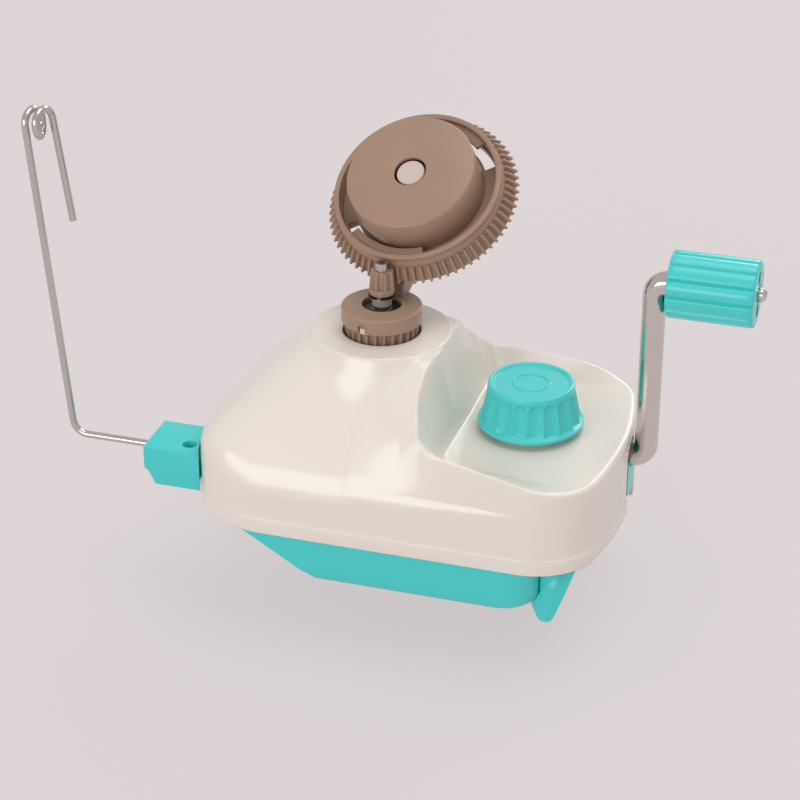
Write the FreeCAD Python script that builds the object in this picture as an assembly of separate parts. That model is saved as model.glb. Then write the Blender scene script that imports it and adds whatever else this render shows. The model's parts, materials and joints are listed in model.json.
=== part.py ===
import FreeCAD, Part
import math
import os
from FreeCAD import Vector as V

# Sizes of the housing, in millimetres
half_width = 52.7
end_right = 95.2
end_left = -68.5
end_right_r = 150.0
end_left_r = 82.0
corner_right = 20.0
corner_left = 18.0
band_h = 5.9
band_proud = 0.6
shoulder_z = 25.8
shoulder_r = 5.0
wall = 2.6
turret_top = 64.08
turret_r = 26.3
opening_r = 14.4
floor_z = 31.9
floor_half = 39.3
recess_left = 32.0
recess_corner = 11.0
cove_x = 21.0
cove_half = 60.0

# Outer edge of each flank beside the knob recess: x, half distance, height, growth of the wall
crests = [(10.0, 33.0, 54.0, 0.0), (20.0, 38.5, 50.2, 0.0), (28.0, 42.8, 45.6, 0.0),
          (36.0, 46.2, 43.2, 0.0), (50.0, 48.8, 41.5, 0.4), (70.0, 50.9, 38.2, 1.2),
          (84.0, 51.4, 33.2, 1.6), (99.0, 51.0, 27.4, 1.6)]
flank_y = 50.5
skirt_mid_x = 4.7
skirt_half_x = 70.3
turret_bulge = 0.16
flank_z = 24.4

# Base plate, posts and bearings
plate_gap = 0.3
plate_t = 2.2
post_r = 5.5
post_top = 32.0
spindle_r = 3.0
spindle_foot = 1.2
run_gap = 0.05

# Crank and its gear
crank_y = 8.5
crank_z = 21.77
crank_r = 4.3
crank_arm_x = 99.8
crank_throw = 71.4
crank_bend = 5.0
grip_x0 = 105.3
grip_x1 = 136.7
grip_r = 12.5
grip_lobes = 12
grip_pin_r = 2.65
crank_tip = 139.8
crown_teeth = 30
pinion_teeth = 16
crown_face = 3.0
crown_back = 12.6

# Hub, cap and the fixed gear above it
hub_ring_teeth = 26
cap_r = 15.05
cap_z0 = 68.0
cap_z1 = 73.9
centre_teeth = 8
spool_teeth = 72

# Spool: its axis leans toward the front, its cone's tip is on the hub's axis
tilt = 35.68
turn = 10.05
apex_z = 149.7
plane_from_apex = 56.98
spool_pitch_r = 36.0
lip_h = 9.03
lip_r = 32.1
drum_h = 18.68
drum_r = 24.5
axle_r = 3.0

# Clamp
knob_x = 57.55
knob_z0 = 34.5
knob_z1 = 50.8
screw_r = 3.0
screw_pitch = 3.0
screw_foot = -43.0
jaw_gap = 0.4
jaw_half = 51.0
jaw_wall = 2.5
fin_y = (17.5, 41.0)
fin_t = 4.4

# Guide arm and wire
arm_y = (-30.4, -8.6)
arm_x = -85.6
arm_z = (0.3, 15.8)
tongue_y = (-26.6, -12.4)
tongue_z = (3.2, 12.6)
saddle_x = 94.7
wire_r = 1.4
wire_y = -19.5
wire_z = 10.9
eye_x = -126.6
eye_z = 135.7
eye_r = 4.95
eye_pitch = 4.3
wire_lean = 0.088
wire_bend = 6.0
tail_x = -118.1
tail_z = 96.3


def cylinder(r, length, foot, axis=V(0, 0, 1)):
    """Straight round rod from a foot point along an axis."""
    return Part.makeCylinder(r, length, foot, axis)


def box(x0, x1, y0, y1, z0, z1):
    """Box between two corners."""
    return Part.makeBox(x1 - x0, y1 - y0, z1 - z0, V(x0, y0, z0))


def fuse(shapes):
    """One solid out of several."""
    body = shapes[0].multiFuse(shapes[1:])
    return body.removeSplitter()


def prism(points, direction):
    """Polygon pushed along a direction."""
    wire = Part.makePolygon(points + [points[0]])
    return Part.Face(wire).extrude(direction)


def turned(profile):
    """Closed radius and height profile turned about Z."""
    points = [V(r, 0, z) for r, z in profile]
    wire = Part.makePolygon(points + [points[0]])
    return Part.Face(wire).revolve(V(0, 0, 0), V(0, 0, 1), 360)


def ring(r_out, r_in, z0, z1):
    """Plain ring about Z."""
    return cylinder(r_out, z1 - z0, V(0, 0, z0)).cut(cylinder(r_in, z1 - z0 + 2, V(0, 0, z0 - 1)))


def closed_curve(points):
    """Smooth closed wire through points."""
    curve = Part.BSplineCurve()
    curve.interpolate(Points=points, PeriodicFlag=True)
    return Part.Wire(curve.toShape())


def plan_prism(inset, z0, z1):
    """The housing's plan with bulged ends and round corners, made smaller by an inset."""
    h = half_width - inset
    xr = end_right - inset
    xl = end_left + inset
    rr = end_right_r - inset
    rl = end_left_r - inset
    sag_r = rr - math.sqrt(rr * rr - h * h)
    sag_l = rl - math.sqrt(rl * rl - h * h)
    a = V(xl + sag_l, -h, z0)
    b = V(xr - sag_r, -h, z0)
    c = V(xr - sag_r, h, z0)
    d = V(xl + sag_l, h, z0)
    edges = [Part.makeLine(a, b), Part.Arc(b, V(xr, 0, z0), c).toShape(),
             Part.makeLine(c, d), Part.Arc(d, V(xl, 0, z0), a).toShape()]
    body = Part.Face(Part.Wire(edges)).extrude(V(0, 0, z1 - z0))
    right = []
    left = []
    for edge in body.Edges:
        p = edge.Vertexes[0].Point
        q = edge.Vertexes[-1].Point
        if abs(p.z - q.z) > 0.5 * (z1 - z0):
            if p.x > 0:
                right.append(edge)
            else:
                left.append(edge)
    body = body.makeFillet(max(corner_right - inset, 3.0), right)
    left = []
    for edge in body.Edges:
        p = edge.Vertexes[0].Point
        q = edge.Vertexes[-1].Point
        upright = abs(p.z - q.z) > 0.5 * (z1 - z0)
        if upright and p.x < 0 and abs(abs(p.y) - h) < 0.01:
            left.append(edge)
    return body.makeFillet(max(corner_left - inset, 3.0), left)


def oval_point(angle, x_mid, half_x, half_y, power):
    """Point on a squarish oval."""
    c = math.cos(angle)
    s = math.sin(angle)
    k = (abs(c) ** power + abs(s) ** power) ** (-1.0 / power)
    return x_mid + half_x * k * c, half_y * k * s


def turret_loft(inset, top_z):
    """Body between the squarish shoulder line and the round turret top, fuller at the right."""
    low = []
    mid = []
    high = []
    steps = 24
    r = turret_r - inset
    z0 = 23.0 - inset
    z1 = z0 + 0.56 * (top_z - z0)
    for i in range(steps):
        angle = 2 * math.pi * (i + 0.5) / steps
        x, y = oval_point(angle, skirt_mid_x, skirt_half_x - inset, flank_y - inset, 4.0)
        a = V(x, y, z0)
        b = V(r * math.cos(angle), r * math.sin(angle), top_z)
        lean = max(0.0, math.cos(abs(angle - math.pi) - math.radians(122.0)))
        share = 0.44 + turret_bulge * lean ** 6
        low.append(a)
        mid.append(V(b.x + (a.x - b.x) * share, b.y + (a.y - b.y) * share, z1))
        high.append(b)
    wires = [closed_curve(low), closed_curve(mid), closed_curve(high)]
    return Part.makeLoft(wires, True, False)


def flank_section(x, y_c, z_c, y_w):
    """Section across the housing at one x: walls, leaning faces and a flat top."""
    half = [(y_w, 16.0), (y_w, flank_z), (y_c, z_c)]
    pts = [V(x, -y, z) for y, z in half] + [V(x, y, z) for y, z in reversed(half)]
    return Part.makePolygon(pts + [pts[0]])


def flanks_loft(inset):
    """Both flanks beside the recess, from the turret to the right end."""
    sections = []
    for x, y_c, z_c, more in crests:
        sections.append(flank_section(x, y_c - inset, z_c - inset, flank_y + more - inset))
    return Part.makeLoft(sections, True, False)


def recess_wire(z, x_mid, x_side, y_mid, half, bend, spread):
    """Outline of the recess at one height: turret side, two round corners and open sides."""
    c = 1 - math.sqrt(0.5)
    b = V(x_side, -half + bend, z)
    m = V(x_side + bend * c, -half + bend * c, z)
    a = V(x_side + bend, -half, z)
    far = V(130.0, -half - spread, z)
    t = V(x_mid - 3.5 * (x_mid < recess_left - 4.0), -y_mid, z)
    turret = Part.Arc(V(t.x, -t.y, z), V(x_mid + 0.001, 0, z), t).toShape()
    low = [Part.makeLine(t, b), Part.Arc(b, m, a).toShape(), Part.makeLine(a, far)]
    points = [V(far.x, -far.y, z), V(a.x, -a.y, z), V(m.x, -m.y, z), V(b.x, -b.y, z), V(t.x, -t.y, z)]
    high = [Part.makeLine(points[0], points[1]),
            Part.Arc(points[1], points[2], points[3]).toShape(),
            Part.makeLine(points[3], points[4])]
    return Part.Wire([turret] + low + [Part.makeLine(far, points[0])] + high)


def recess_tool(grow):
    """Space above the recess floor, bounded by the turret's flank and the inner slopes."""
    z0 = floor_z - grow
    z1 = turret_top + 1.0
    low = recess_wire(z0, recess_left - grow, recess_left - grow, 13.5, floor_half + grow,
                      recess_corner, 0.0)
    high = recess_wire(z1, turret_r + 0.15 - grow, cove_x - grow, 13.5, cove_half + grow,
                       recess_corner, 150.0)
    return Part.makeLoft([low, high], True, True)


def post_places():
    """Places of the six base screws."""
    return [(-44.0, -40.0), (-44.0, 40.0), (24.0, -45.0), (24.0, 45.0), (63.0, -43.6), (63.0, 43.6)]


def bearing_places():
    """Start and end of the two crank bearings along X."""
    return [(19.0, 27.0), (84.2, 89.6)]


def top_housing():
    """Moulded shell: skirt, turret, flanks, recess floor, screw posts and openings."""
    skirt = plan_prism(band_proud, 0.0, shoulder_z)
    tops = [e for e in skirt.Edges if min(v.Z for v in e.Vertexes) > shoulder_z - 0.01]
    skirt = skirt.makeFillet(shoulder_r, tops)
    band = plan_prism(0.0, 0.0, band_h)
    deck = plan_prism(band_proud, shoulder_z - 9.0, turret_top)
    outer = skirt.fuse(flanks_loft(0.0).fuse(turret_loft(0.0, turret_top)).common(deck))
    outer = outer.cut(recess_tool(0.0)).fuse(band)
    inner_skirt = plan_prism(3.0, -1.0, shoulder_z - 3.2)
    inner_deck = plan_prism(band_proud + 2.6, shoulder_z - 9.0, turret_top)
    inner_flanks = flanks_loft(3.0).common(inner_deck)
    inner_turret = turret_loft(2.6, turret_top - 2.6).common(inner_deck)
    inner = inner_skirt.fuse(inner_flanks).fuse(inner_turret)
    inner = inner.cut(recess_tool(2.4))
    shell = outer.cut(inner)
    for x, y in post_places():
        shell = shell.fuse(cylinder(4.2, 60.0, V(x, y, plate_t + 0.1)).common(outer))
    shell = shell.fuse(cylinder(17.0, 2.2, V(knob_x, 0, floor_z)))
    for x, y in post_places():
        shell = shell.cut(cylinder(1.25, 14.0, V(x, y, plate_t - 1.0)))
    shell = shell.cut(cylinder(opening_r, 20.0, V(0, 0, turret_top - 10.0)))
    shell = shell.cut(cylinder(screw_r + 0.4, 20.0, V(knob_x, 0, floor_z - 8.0)))
    arch_r = crank_r + 2.6
    shell = shell.cut(cylinder(arch_r, 30.0, V(84.0, crank_y, crank_z), V(1, 0, 0)))
    shell = shell.cut(box(84.0, 110.0, crank_y - arch_r, crank_y + arch_r, -1.0, crank_z))
    return shell.cut(box(end_left - 5, -50.0, tongue_y[0] - 0.4, tongue_y[1] + 0.4,
                         -1.0, tongue_z[1] + 0.4))


def bearing_half(x0, x1):
    """Lower half of a crank bearing with two screw holes."""
    block = box(x0, x1, crank_y - 12.5, crank_y + 12.5, plate_t - 0.2, crank_z)
    block = block.cut(cylinder(crank_r + run_gap, x1 - x0 + 2, V(x0 - 1, crank_y, crank_z), V(1, 0, 0)))
    for side in (-1, 1):
        hole = cylinder(1.0, 10.0, V((x0 + x1) / 2, crank_y + side * 9.0, crank_z - 10.0))
        block = block.cut(hole)
    return block


def base_plate():
    """Floor plate with spindle post, bearing halves and tongue rails."""
    plate = plan_prism(3.0 + plate_gap, 0.0, plate_t)
    plate = plate.fuse(cylinder(post_r, post_top - 1.0, V(0, 0, 1.0)))
    for x0, x1 in bearing_places():
        plate = plate.fuse(bearing_half(x0, x1))
    tongue = box(85.0, saddle_x, crank_y - 5.6, crank_y + 5.6, plate_t - 0.2, crank_z - 1.0)
    under = prism([V(97, crank_y - 9, -1), V(90.6, crank_y - 9, plate_t + 0.6),
                   V(97, crank_y - 9, 9.0)], V(0, 18, 0))
    rod_room = cylinder(crank_r + 0.4, 30.0, V(80.0, crank_y, crank_z), V(1, 0, 0))
    plate = plate.fuse(tongue.cut(under).cut(rod_room))
    for y0, y1 in ((tongue_y[0] - 2.4, tongue_y[0] - 0.3), (tongue_y[1] + 0.3, tongue_y[1] + 2.4)):
        plate = plate.fuse(box(-58.0, -16.0, y0, y1, plate_t - 0.2, tongue_z[1]))
    plate = plate.cut(cylinder(spindle_r, 40.0, V(0, 0, spindle_foot)))
    plate = plate.cut(cylinder(screw_r + 0.5, 10.0, V(knob_x, 0, -2.0)))
    for x, y in post_places():
        plate = plate.cut(cylinder(1.7, 6.0, V(x, y, -1.0)))
        plate = plate.cut(Part.makeCone(3.1, 1.7, 1.4, V(x, y, 0.0)))
    for y in fin_y:
        for side in (-1, 1):
            mid = side * y
            plate = plate.cut(box(73.0, 82.0, mid - fin_t / 2 - 0.4, mid + fin_t / 2 + 0.4, -1.0, 10.0))
    plate = plate.cut(cylinder(19.4, 6.0, V(6.5, crank_y, crank_z), V(1, 0, 0)))
    return plate


def base_screws():
    """Countersunk screws from below into the housing's posts."""
    screws = []
    for x, y in post_places():
        screw = turned([(0, 0.15), (2.7, 0.15), (1.2, 1.45), (1.2, 11.2), (0.7, 11.8), (0, 11.8)])
        screw.translate(V(x, y, 0))
        slot = box(x - 1.5, x + 1.5, y - 0.35, y + 0.35, 0.0, 0.75)
        cross = box(x - 0.35, x + 0.35, y - 1.5, y + 1.5, 0.0, 0.75)
        screws.append(screw.cut(slot.fuse(cross)))
    return Part.makeCompound(screws)


def bearing_caps():
    """Upper halves of the two crank bearings."""
    caps = []
    for x0, x1 in bearing_places():
        arch = cylinder(crank_r + 2.2, x1 - x0, V(x0, crank_y, crank_z), V(1, 0, 0))
        feet = box(x0, x1, crank_y - 12.5, crank_y + 12.5, crank_z, crank_z + 2.4)
        cap = arch.fuse(feet)
        cap = cap.cut(box(x0 - 1, x1 + 1, crank_y - 20, crank_y + 20, crank_z - 20, crank_z + 0.02))
        cap = cap.cut(cylinder(crank_r + run_gap, x1 - x0 + 2, V(x0 - 1, crank_y, crank_z), V(1, 0, 0)))
        for side in (-1, 1):
            cap = cap.cut(cylinder(1.3, 10.0, V((x0 + x1) / 2, crank_y + side * 9.0, crank_z - 1)))
        caps.append(cap)
    return Part.makeCompound(caps)


def cap_screws():
    """Small pan head screws of the bearing caps."""
    screws = []
    for x0, x1 in bearing_places():
        for side in (-1, 1):
            foot = V((x0 + x1) / 2, crank_y + side * 9.0, crank_z - 7.0)
            shank = cylinder(1.0, 9.5, foot)
            head = cylinder(2.1, 1.5, foot + V(0, 0, 9.42))
            screws.append(shank.fuse(head))
    return Part.makeCompound(screws)


def spindle():
    """Fixed upright steel rod with a thinner top."""
    rod = cylinder(spindle_r, 77.3, V(0, 0, spindle_foot))
    return rod.fuse(cylinder(1.6, 9.6, V(0, 0, spindle_foot + 77.0)))


def spacer():
    """Grey spacer sleeve above the hub cap."""
    return ring(3.7, spindle_r, 74.2, 77.4)


def spindle_clip():
    """Open spring clip on the spindle."""
    clip = ring(5.0, spindle_r, 77.6, 78.2)
    return clip.cut(box(-0.9, 0.9, -6.0, 0.0, 77.0, 79.0))


def tooth(r0, r1, w0, w1, z0, z1):
    """Tapered straight tooth pointing along +X."""
    pts = [V(r0, -w0 / 2, z0), V(r1, -w1 / 2, z0), V(r1, w1 / 2, z0), V(r0, w0 / 2, z0)]
    return prism(pts, V(0, 0, z1 - z0))


def toothed(core, count, r0, r1, w0, w1, z0, z1, phase):
    """Core with straight teeth around it."""
    teeth = []
    for i in range(count):
        one = tooth(r0, r1, w0, w1, z0, z1)
        one.rotate(V(0, 0, 0), V(0, 0, 1), phase + 360.0 * i / count)
        teeth.append(one)
    return core.multiFuse(teeth)


def centre_pinion():
    """Small fixed gear and its collar, which the spool's gear rolls round."""
    collar = ring(4.65, 1.6, 78.6, 80.8)
    low_k = (apex_z - 80.8) / 67.3
    high_k = (apex_z - 87.7) / 67.3
    core = Part.makeCone(3.15 * low_k, 3.15 * high_k, 6.9, V(0, 0, 80.8))
    body = collar.fuse(core)
    teeth = []
    for i in range(centre_teeth):
        wires = []
        for k, z in ((low_k, 80.8), (high_k, 87.7)):
            pts = [V(2.9 * k, -0.75 * k, z), V(4.7 * k, -0.35 * k, z),
                   V(4.7 * k, 0.35 * k, z), V(2.9 * k, 0.75 * k, z)]
            wires.append(Part.makePolygon(pts + [pts[0]]))
        one = Part.makeLoft(wires, True, True)
        one.rotate(V(0, 0, 0), V(0, 0, 1), 90.0 - turn + 360.0 * i / centre_teeth)
        teeth.append(one)
    body = body.multiFuse(teeth)
    return body.cut(cylinder(1.6, 20.0, V(0, 0, 75.0)))


def spindle_screw():
    """Socket screw that holds the fixed gear down."""
    stub = cylinder(2.3, 2.9, V(0, 0, 87.9))
    socket = cylinder(1.3, 2.0, V(0, 0, 89.2))
    return stub.cut(socket)


def hub_gear():
    """Rotating sleeve with the driven pinion low down and the gear ring at the turret mouth."""
    tube = cylinder(5.4, 66.4 - 32.3, V(0, 0, 32.3))
    core = cylinder(6.9, 9.0, V(0, 0, 32.3))
    top = cylinder(12.3, 6.6, V(0, 0, 61.2))
    flare = Part.makeCone(5.4, 12.3, 6.0, V(0, 0, 55.2))
    body = tube.fuse(core).fuse(top).fuse(flare)
    phase = 180.0 / pinion_teeth
    body = toothed(body, pinion_teeth, 6.7, 8.6, 1.75, 0.8, 32.3, 41.3, phase)
    body = toothed(body, hub_ring_teeth, 12.1, 13.8, 1.7, 0.9, 61.2, 67.8, 0.0)
    return body.cut(cylinder(spindle_r + run_gap, 60.0, V(0, 0, 30.0)))


def hub_cap():
    """Round cap over the gear ring with a sunk middle and a small notch."""
    profile = [(0, cap_z0 - 0.2), (13.2, cap_z0 - 0.2), (13.2, cap_z0), (cap_r, cap_z0),
               (cap_r, cap_z1 - 0.8), (cap_r - 0.8, cap_z1), (8.4, cap_z1), (8.4, cap_z1 + 0.4),
               (7.4, cap_z1 + 0.4), (7.4, cap_z1 - 1.6), (0, cap_z1 - 1.6)]
    cap = turned(profile)
    return cap.cut(cylinder(spindle_r + run_gap, 10.0, V(0, 0, 66.0)))


def on_spool(shape):
    """Move a shape from the spool's own axes to its place on the machine."""
    lean = math.radians(tilt)
    way = math.radians(turn)
    n = V(-math.sin(way) * math.sin(lean), -math.cos(way) * math.sin(lean), math.cos(lean))
    moved = shape.copy()
    moved.rotate(V(0, 0, 0), V(1, 0, 0), tilt)
    moved.rotate(V(0, 0, 0), V(0, 0, 1), -turn)
    moved.translate(V(0, 0, apex_z) - n * plane_from_apex)
    return moved


def hub_arm():
    """Bracket from the hub cap to the spool's axle."""
    side = [(9.0, cap_z1), (9.0, 78.6), (12.5, 83.2), (31.0, 96.6), (36.0, 91.5), (33.0, 86.0),
            (13.8, cap_z1)]
    width = 8.4
    pts = [V(-width / 2, y, z) for y, z in side]
    plate = prism(pts, V(width, 0, 0))
    plate.rotate(V(0, 0, 0), V(0, 0, 1), -turn)
    boss = on_spool(cylinder(6.6, 12.2, V(0, 0, -14.4)))
    hole = on_spool(cylinder(axle_r, 30.0, V(0, 0, -13.0)))
    return plate.fuse(boss).cut(hole).removeSplitter()


def spool_axle():
    """Steel pin that the spool turns on."""
    return on_spool(cylinder(axle_r, 13.0 + 16.2, V(0, 0, -13.0)))


def axle_cap():
    """Pale button that keeps the spool on its axle."""
    button = turned([(0, 16.2), (5.3, 16.2), (5.3, 17.5), (5.0, 17.8), (0, 17.8)])
    return on_spool(button)


def spool_gear():
    """Toothed ring with lip, dish, sleeve and two inward tabs."""
    profile = [(5.6, -1.2), (35.4, -1.2), (34.9, -0.4), (31.9, 4.5), (32.6, 4.6),
               (31.4, 7.3), (lip_r, 7.5), (lip_r, lip_h), (30.2, lip_h), (30.2, 2.4), (5.6, 2.4)]
    body = turned(profile)
    sleeve = cylinder(5.6, 15.9 + 1.2, V(0, 0, -1.2))
    body = body.fuse(sleeve)
    teeth = []
    for i in range(spool_teeth):
        wires = []
        for z in (-0.6, 4.55):
            k = (plane_from_apex - z) / plane_from_apex
            pts = [V(34.2 * k, -0.95 * k, z), V(36.55 * k, -0.42 * k, z),
                   V(36.55 * k, 0.42 * k, z), V(34.2 * k, 0.95 * k, z)]
            wires.append(Part.makePolygon(pts + [pts[0]]))
        one = Part.makeLoft(wires, True, True)
        one.rotate(V(0, 0, 0), V(0, 0, 1), -90.0 + 360.0 * (i + 0.5) / spool_teeth)
        teeth.append(one)
    body = body.multiFuse(teeth)
    for mid in (-95.0, 85.0):
        tab = ring(30.6, 26.6, 6.0, 7.6)
        wedge = prism([V(0, 0, 5), V(60, -36, 5), V(60, 36, 5)], V(0, 0, 4))
        wedge.rotate(V(0, 0, 0), V(0, 0, 1), mid)
        body = body.fuse(tab.common(wedge))
        window = ring(29.6, 25.6, -2.0, 3.0)
        wedge = prism([V(0, 0, -3), V(60, -22, -3), V(60, 22, -3)], V(0, 0, 8))
        wedge.rotate(V(0, 0, 0), V(0, 0, 1), mid - 27.0)
        body = body.cut(window.common(wedge))
    body = body.cut(cylinder(axle_r + run_gap, 40.0, V(0, 0, -10.0)))
    return on_spool(body)


def spool_drum():
    """Short drum that the ball is wound on, closed in front."""
    profile = [(6.1, 16.9), (22.5, 16.9), (22.5, 2.4), (24.5, 2.4), (24.5, drum_h - 1.0),
               (24.2, drum_h - 0.3), (23.5, drum_h), (6.1, drum_h)]
    return on_spool(turned(profile))


def rod_line(r, a, b):
    """Straight piece of round rod between two points."""
    return cylinder(r, (b - a).Length, a, b - a)


def rod_bend(r, start, way, centre, axis, angle):
    """Bent piece of round rod, turned about an axis through a centre."""
    disc = Part.Face(Part.Wire(Part.makeCircle(r, start, way)))
    return disc.revolve(centre, axis, angle)


def crank_rod():
    """Bent round steel rod with a thin threaded end for the grip."""
    y = crank_y
    z0 = crank_z
    z1 = crank_z + crank_throw
    b = crank_bend
    x = crank_arm_x
    low = V(x - b, y, z0)
    high = V(x, y, z1 - b)
    rod = [rod_line(crank_r, V(9.2, y, z0), low),
           rod_bend(crank_r, low, V(1, 0, 0), V(x - b, y, z0 + b), V(0, -1, 0), 90),
           rod_line(crank_r, V(x, y, z0 + b), high),
           rod_bend(crank_r, high, V(0, 0, 1), V(x + b, y, z1 - b), V(0, 1, 0), 90),
           rod_line(crank_r, V(x + b, y, z1), V(grip_x0 - 0.35, y, z1))]
    profile = [(0, grip_x0 - 1.0), (grip_pin_r, grip_x0 - 1.0), (grip_pin_r, crank_tip - 1.4),
               (grip_pin_r - 0.5, crank_tip - 0.6), (grip_pin_r - 1.4, crank_tip), (0, crank_tip)]
    pin = turned(profile)
    pin.rotate(V(0, 0, 0), V(0, 1, 0), 90)
    pin.translate(V(0, y, z1))
    return fuse(rod + [pin])


def crown_gear():
    """Face gear on the crank rod; its teeth are skewed because the rod passes behind the hub."""
    mean = math.hypot(crank_y, crown_teeth / 2.0)
    r_in = mean - crown_face / 2
    r_out = mean + crown_face / 2
    disc = cylinder(r_out, crown_back - 9.3, V(9.3, 0, 0), V(1, 0, 0))
    boss = cylinder(8.0, 18.4 - 9.3, V(9.3, 0, 0), V(1, 0, 0))
    body = disc.fuse(boss)
    blank = cylinder(r_out, 2.3, V(7.2, 0, 0), V(1, 0, 0))
    blank = blank.cut(cylinder(r_in, 4.0, V(6.2, 0, 0), V(1, 0, 0)))
    teeth = []
    for i in range(crown_teeth):
        pts = [V(9.5, -crank_y - 0.6, 5.0), V(7.4, -crank_y - 0.22, 5.0),
               V(7.4, -crank_y + 0.22, 5.0), V(9.5, -crank_y + 0.6, 5.0)]
        bar = prism(pts, V(0, 0, 20.0))
        bar.rotate(V(0, 0, 0), V(1, 0, 0), 360.0 * i / crown_teeth)
        teeth.append(bar.common(blank))
    body = body.multiFuse(teeth)
    body = body.cut(cylinder(crank_r, 30.0, V(0, 0, 0), V(1, 0, 0)))
    body.translate(V(0, crank_y, crank_z))
    return body


def crank_collar():
    """Set collar inside the right bearing."""
    collar = cylinder(6.2, 5.0, V(78.8, crank_y, crank_z), V(1, 0, 0))
    return collar.cut(cylinder(crank_r, 10.0, V(77.0, crank_y, crank_z), V(1, 0, 0)))


def crank_grip():
    """Lobed turning handle with two key holes in its end."""
    z1 = crank_z + crank_throw
    core = cylinder(grip_r - 1.6, grip_x1 - grip_x0, V(grip_x0, 0, 0), V(1, 0, 0))
    lobes = []
    for i in range(grip_lobes):
        a = 2 * math.pi * (i + 0.5) / grip_lobes
        mid = grip_r - 2.75
        lobe = cylinder(2.75, grip_x1 - grip_x0, V(grip_x0, mid * math.cos(a), mid * math.sin(a)), V(1, 0, 0))
        lobes.append(lobe)
    grip = core.multiFuse(lobes)
    grip = grip.cut(cylinder(grip_pin_r + run_gap, 60.0, V(grip_x0 - 5, 0, 0), V(1, 0, 0)))
    for side in (-1, 1):
        grip = grip.cut(cylinder(2.4, 6.0, V(grip_x1 - 5.0, 0, 6.4 * side), V(1, 0, 0)))
    grip.translate(V(0, crank_y, z1))
    return grip


def clamp_knob():
    """Fluted knob with a foot flange and a dished top."""
    profile = [(3.0, knob_z0), (19.7, knob_z0), (19.7, knob_z0 + 1.5), (18.4, knob_z0 + 1.7),
               (15.8, knob_z1 - 1.0), (15.5, knob_z1), (14.2, knob_z1), (13.6, knob_z1 - 0.7),
               (6.9, knob_z1 - 0.7), (6.9, knob_z1 - 0.3), (6.3, knob_z1 - 0.3), (6.3, knob_z1 - 0.7),
               (3.0, knob_z1 - 0.7), (3.0, knob_z1 - 3.0), (3.0, knob_z0)]
    profile = profile[:-1]
    body = turned(profile)
    body = body.fuse(cylinder(3.2, 3.0, V(0, 0, knob_z1 - 3.7)))
    flutes = []
    for i in range(18):
        a = 2 * math.pi * i / 18
        foot = V(20.2 * math.cos(a), 20.2 * math.sin(a), knob_z0 + 1.5)
        top = V(17.3 * math.cos(a), 17.3 * math.sin(a), knob_z1 - 2.0)
        way = top - foot
        flutes.append(Part.makeCylinder(2.2, way.Length, foot, way))
    body = body.cut(Part.makeCompound(flutes))
    body.translate(V(knob_x, 0, 0))
    return body


def clamp_screw():
    """Long clamp screw, grooved where it is threaded."""
    profile = [(0, screw_foot), (screw_r - 0.6, screw_foot), (screw_r, screw_foot + 0.8)]
    z = screw_foot + 1.6
    while z < -1.0:
        profile += [(screw_r, z), (screw_r - 0.6, z + 0.8), (screw_r, z + 1.6)]
        z += screw_pitch
    profile += [(screw_r, knob_z1 - 3.8), (0, knob_z1 - 3.8)]
    body = turned(profile)
    body.translate(V(knob_x, 0, 0))
    return body


def screw_clip():
    """Ring that keeps the screw from lifting out of the deck."""
    body = ring(6.0, screw_r, floor_z - 2.4 - 1.6, floor_z - 2.4 - 0.4)
    body.translate(V(knob_x, 0, 0))
    return body


def jaw_profile(inset):
    """Side outline of the jaw, in X and Z."""
    g = inset
    return [(-40.0 + 2.1 * g, -jaw_gap - g), (-11.9 + 0.6 * g, -17.2 + g), (-5.2, -18.4 + g),
            (61.9 - 0.3 * g, -17.6 + g), (73.4 - g, -12.0 + 0.2 * g), (73.4 - g, -jaw_gap - g)]


def clamp_jaw():
    """Boat-shaped lower jaw with guide fins."""
    pts = [V(x, -jaw_half, z) for x, z in jaw_profile(0.0)]
    body = prism(pts, V(0, 2 * jaw_half, 0))
    low = [(x, z) for x, z in jaw_profile(jaw_wall)]
    low[1] = (low[1][0], -30.0)
    low[2] = (low[2][0], -30.0)
    low[3] = (low[3][0], -30.0)
    low[4] = (low[4][0], -30.0)
    for y0, y1 in ((-jaw_half + jaw_wall, -1.2), (1.2, jaw_half - jaw_wall)):
        pts = [V(x, y0, z) for x, z in low]
        body = body.cut(prism(pts, V(0, y1 - y0, 0)))
    body = body.fuse(cylinder(8.0, 17.0, V(knob_x, 0, -17.6)))
    body = body.cut(cylinder(screw_r + 0.5, 60.0, V(knob_x, 0, -50.0)))
    nut_room = prism([V(knob_x + 5.8 * math.cos(math.radians(60 * i)),
                        5.8 * math.sin(math.radians(60 * i)), -20.0) for i in range(6)], V(0, 0, 7.6))
    body = body.cut(nut_room)
    for y in fin_y:
        top = 27.0
        for side in (-1, 1):
            mid = side * y
            outline = [(70.3, -17.4), (73.8, -24.3), (77.8, -23.5), (78.9, -21.3), (83.1, -9.5),
                       (86.0, -1.0), (81.6, -jaw_gap), (81.6, top), (73.4, top), (73.4, -12.0),
                       (70.3, -12.0)]
            pts = [V(x, mid - fin_t / 2, z) for x, z in outline]
            body = body.fuse(prism(pts, V(0, fin_t, 0)))
    return body


def clamp_nut():
    """Hexagonal nut held in the jaw."""
    nut = prism([V(5.75 * math.cos(math.radians(60 * i)),
                   5.75 * math.sin(math.radians(60 * i)), 0) for i in range(6)], V(0, 0, 5.0))
    nut = nut.cut(cylinder(screw_r + run_gap, 10.0, V(0, 0, -2.0)))
    nut.translate(V(knob_x, 0, -17.45))
    return nut


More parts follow.
